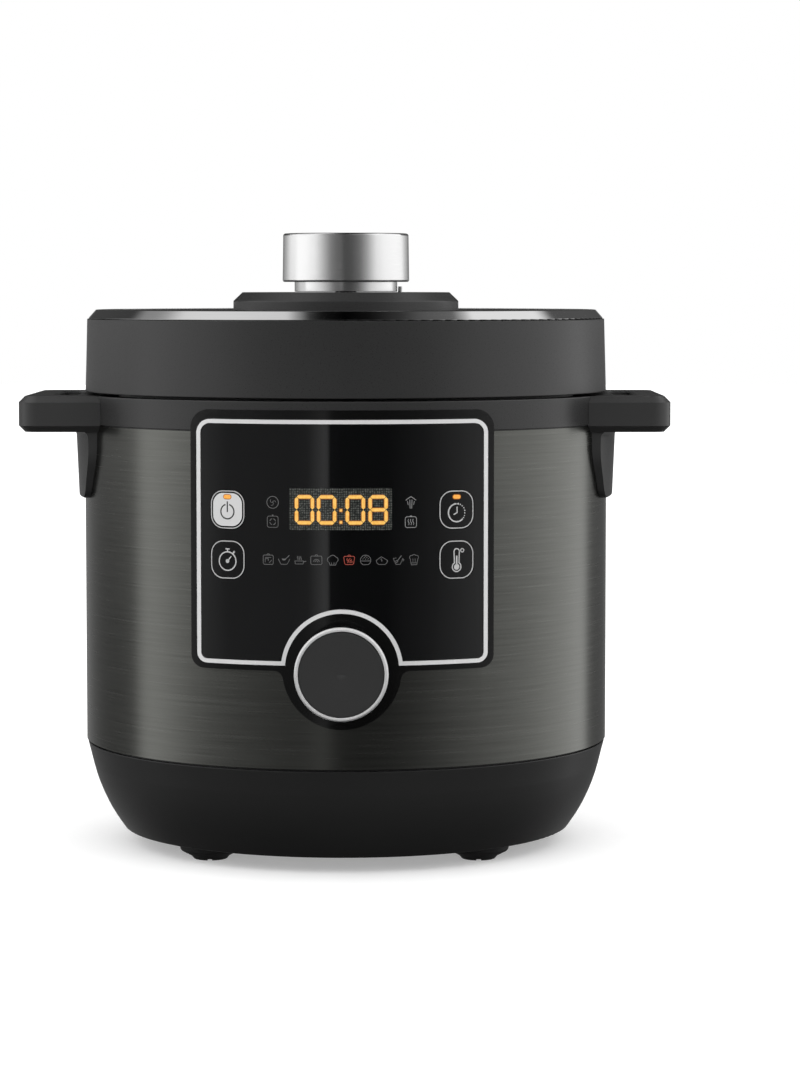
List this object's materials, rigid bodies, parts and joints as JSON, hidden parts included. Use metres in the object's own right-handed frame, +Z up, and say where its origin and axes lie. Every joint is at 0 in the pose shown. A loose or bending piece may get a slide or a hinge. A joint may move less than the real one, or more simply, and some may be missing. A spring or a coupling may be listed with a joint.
{
  "type": "electric pressure cooker",
  "caption": "Round countertop electric pressure cooker with a bayonet lid turned by a central knob, side handles and a curved front control panel with display and dial.",
  "frame": {"origin": "on the axis of the pot, at the underside of the feet", "axes": "+Z up along the axis of the pot; -Y out of the control panel; +X to the right of someone facing the panel"},
  "size_m": [0.366, 0.35, 0.3496],
  "materials": {
    "black_satin": "satin moulded",
    "gunmetal_steel": "brushed, dark tinted",
    "bevel_chrome": "polished dark chrome",
    "gloss_black": "gloss",
    "panel_black": "high gloss",
    "trim_silver": "satin chrome",
    "knob_silver": "turned, satin",
    "ring_silver": "satin",
    "dial_grey": "fine matt",
    "key_white": "gloss",
    "display_grey": "printed window",
    "stainless": "brushed",
    "pot_coating": "non-stick coated",
    "well_aluminium": "spun",
    "heater_cast": "cast and faced",
    "silicone": "silicone",
    "foot_rubber": "matt",
    "board_green": "solder resist",
    "component_dark": "moulded",
    "white_nylon": "moulded",
    "brass": "turned",
    "insulation": "mineral fibre"
  },
  "bodies": {
    "body": {"base_shell": "black_satin", "base_plate": "component_dark", "feet": "foot_rubber", "base_screws": "stainless", "outer_shell": "gunmetal_steel", "top_ring": "black_satin", "handle_left": "black_satin", "handle_right": "black_satin", "handle_screws": "stainless", "drain_spout": "component_dark", "collector_bracket": "black_satin", "inner_housing": "well_aluminium", "bayonet_flange": "stainless", "flange_screws": "stainless", "insulation_sleeve": "insulation", "heating_plate": "heater_cast", "thermal_sensor": "stainless", "sensor_spring": "stainless", "panel_frame": "gloss_black", "panel_trim": "trim_silver", "panel_glass": "panel_black", "display_window": "display_grey", "display_module": "component_dark", "panel_carrier": "component_dark", "control_board": "board_green", "key_boards": "board_green", "tact_switches": "component_dark", "encoder_body": "component_dark", "inlet_housing": "component_dark", "inlet_pins": "brass", "power_board": "board_green", "board_components": "component_dark"},
    "pot": {"inner_pot": "pot_coating", "pot_base": "pot_coating"},
    "lid": {"lid_cover": "black_satin", "lid_trim_ring": "bevel_chrome", "lid_disc": "black_satin", "lid_liner": "component_dark", "spindle_bush": "brass", "inner_lid": "stainless", "lid_posts": "stainless", "lid_gasket": "silicone", "vent_pipe": "stainless", "anti_block_shield": "stainless"},
    "lock": {"locking_plate": "stainless", "spindle": "stainless", "knob_neck": "knob_silver", "knob_cap": "knob_silver"},
    "valve": {"valve_weight": "component_dark"},
    "float": {"float_pin": "stainless"},
    "dial_slide": {"encoder_plunger": "white_nylon"},
    "dial": {"dial_shaft": "stainless", "dial_body": "gloss_black", "dial_ring": "ring_silver", "dial_cap": "dial_grey"},
    "power_key": {"key_power": "key_white"},
    "timer_key": {"key_timer": "panel_black"},
    "delay_key": {"key_delay": "panel_black"},
    "temperature_key": {"key_temperature": "panel_black"},
    "cup": {"collector_cup": "black_satin"}
  },
  "joints": [
    {"name": "pot_lift", "type": "slide", "parent": "body", "child": "pot", "axis": [0, 0, 1], "range_m": [0, 0.2]},
    {"name": "lid_lift", "type": "slide", "parent": "pot", "child": "lid", "axis": [0, 0, 1], "range_m": [0, 0.06]},
    {"name": "lock_turn", "type": "hinge", "parent": "lid", "child": "lock", "pos_m": [0, 0, 0.3], "axis": [0, 0, 1], "range_deg": [0, 30]},
    {"name": "valve_lift", "type": "slide", "parent": "lid", "child": "valve", "axis": [0, 0, 1], "range_m": [0, 0.003]},
    {"name": "float_rise", "type": "slide", "parent": "lid", "child": "float", "axis": [0, 0, 1], "range_m": [0, 0.0038]},
    {"name": "dial_press", "type": "slide", "parent": "body", "child": "dial_slide", "axis": [0, 1, 0], "range_m": [0, 0.0012], "stiffness_N_per_m": 1500, "springref_m": -0.0005},
    {"name": "dial_turn", "type": "hinge", "parent": "dial_slide", "child": "dial", "pos_m": [0, -0.165, 0.1145], "axis": [0, -1, 0], "continuous": true},
    {"name": "power_key_press", "type": "slide", "parent": "body", "child": "power_key", "axis": [0.4003, 0.9164, 0], "range_m": [0, 0.0008], "stiffness_N_per_m": 1500, "springref_m": -0.0005},
    {"name": "timer_key_press", "type": "slide", "parent": "body", "child": "timer_key", "axis": [0.4003, 0.9164, 0], "range_m": [0, 0.0008], "stiffness_N_per_m": 1500, "springref_m": -0.0005},
    {"name": "delay_key_press", "type": "slide", "parent": "body", "child": "delay_key", "axis": [-0.4003, 0.9164, 0], "range_m": [0, 0.0008], "stiffness_N_per_m": 1500, "springref_m": -0.0005},
    {"name": "temperature_key_press", "type": "slide", "parent": "body", "child": "temperature_key", "axis": [-0.4003, 0.9164, 0], "range_m": [0, 0.0008], "stiffness_N_per_m": 1500, "springref_m": -0.0005},
    {"name": "cup_pull", "type": "slide", "parent": "body", "child": "cup", "axis": [0, 1, 0], "range_m": [0, 0.03]}
  ]
}
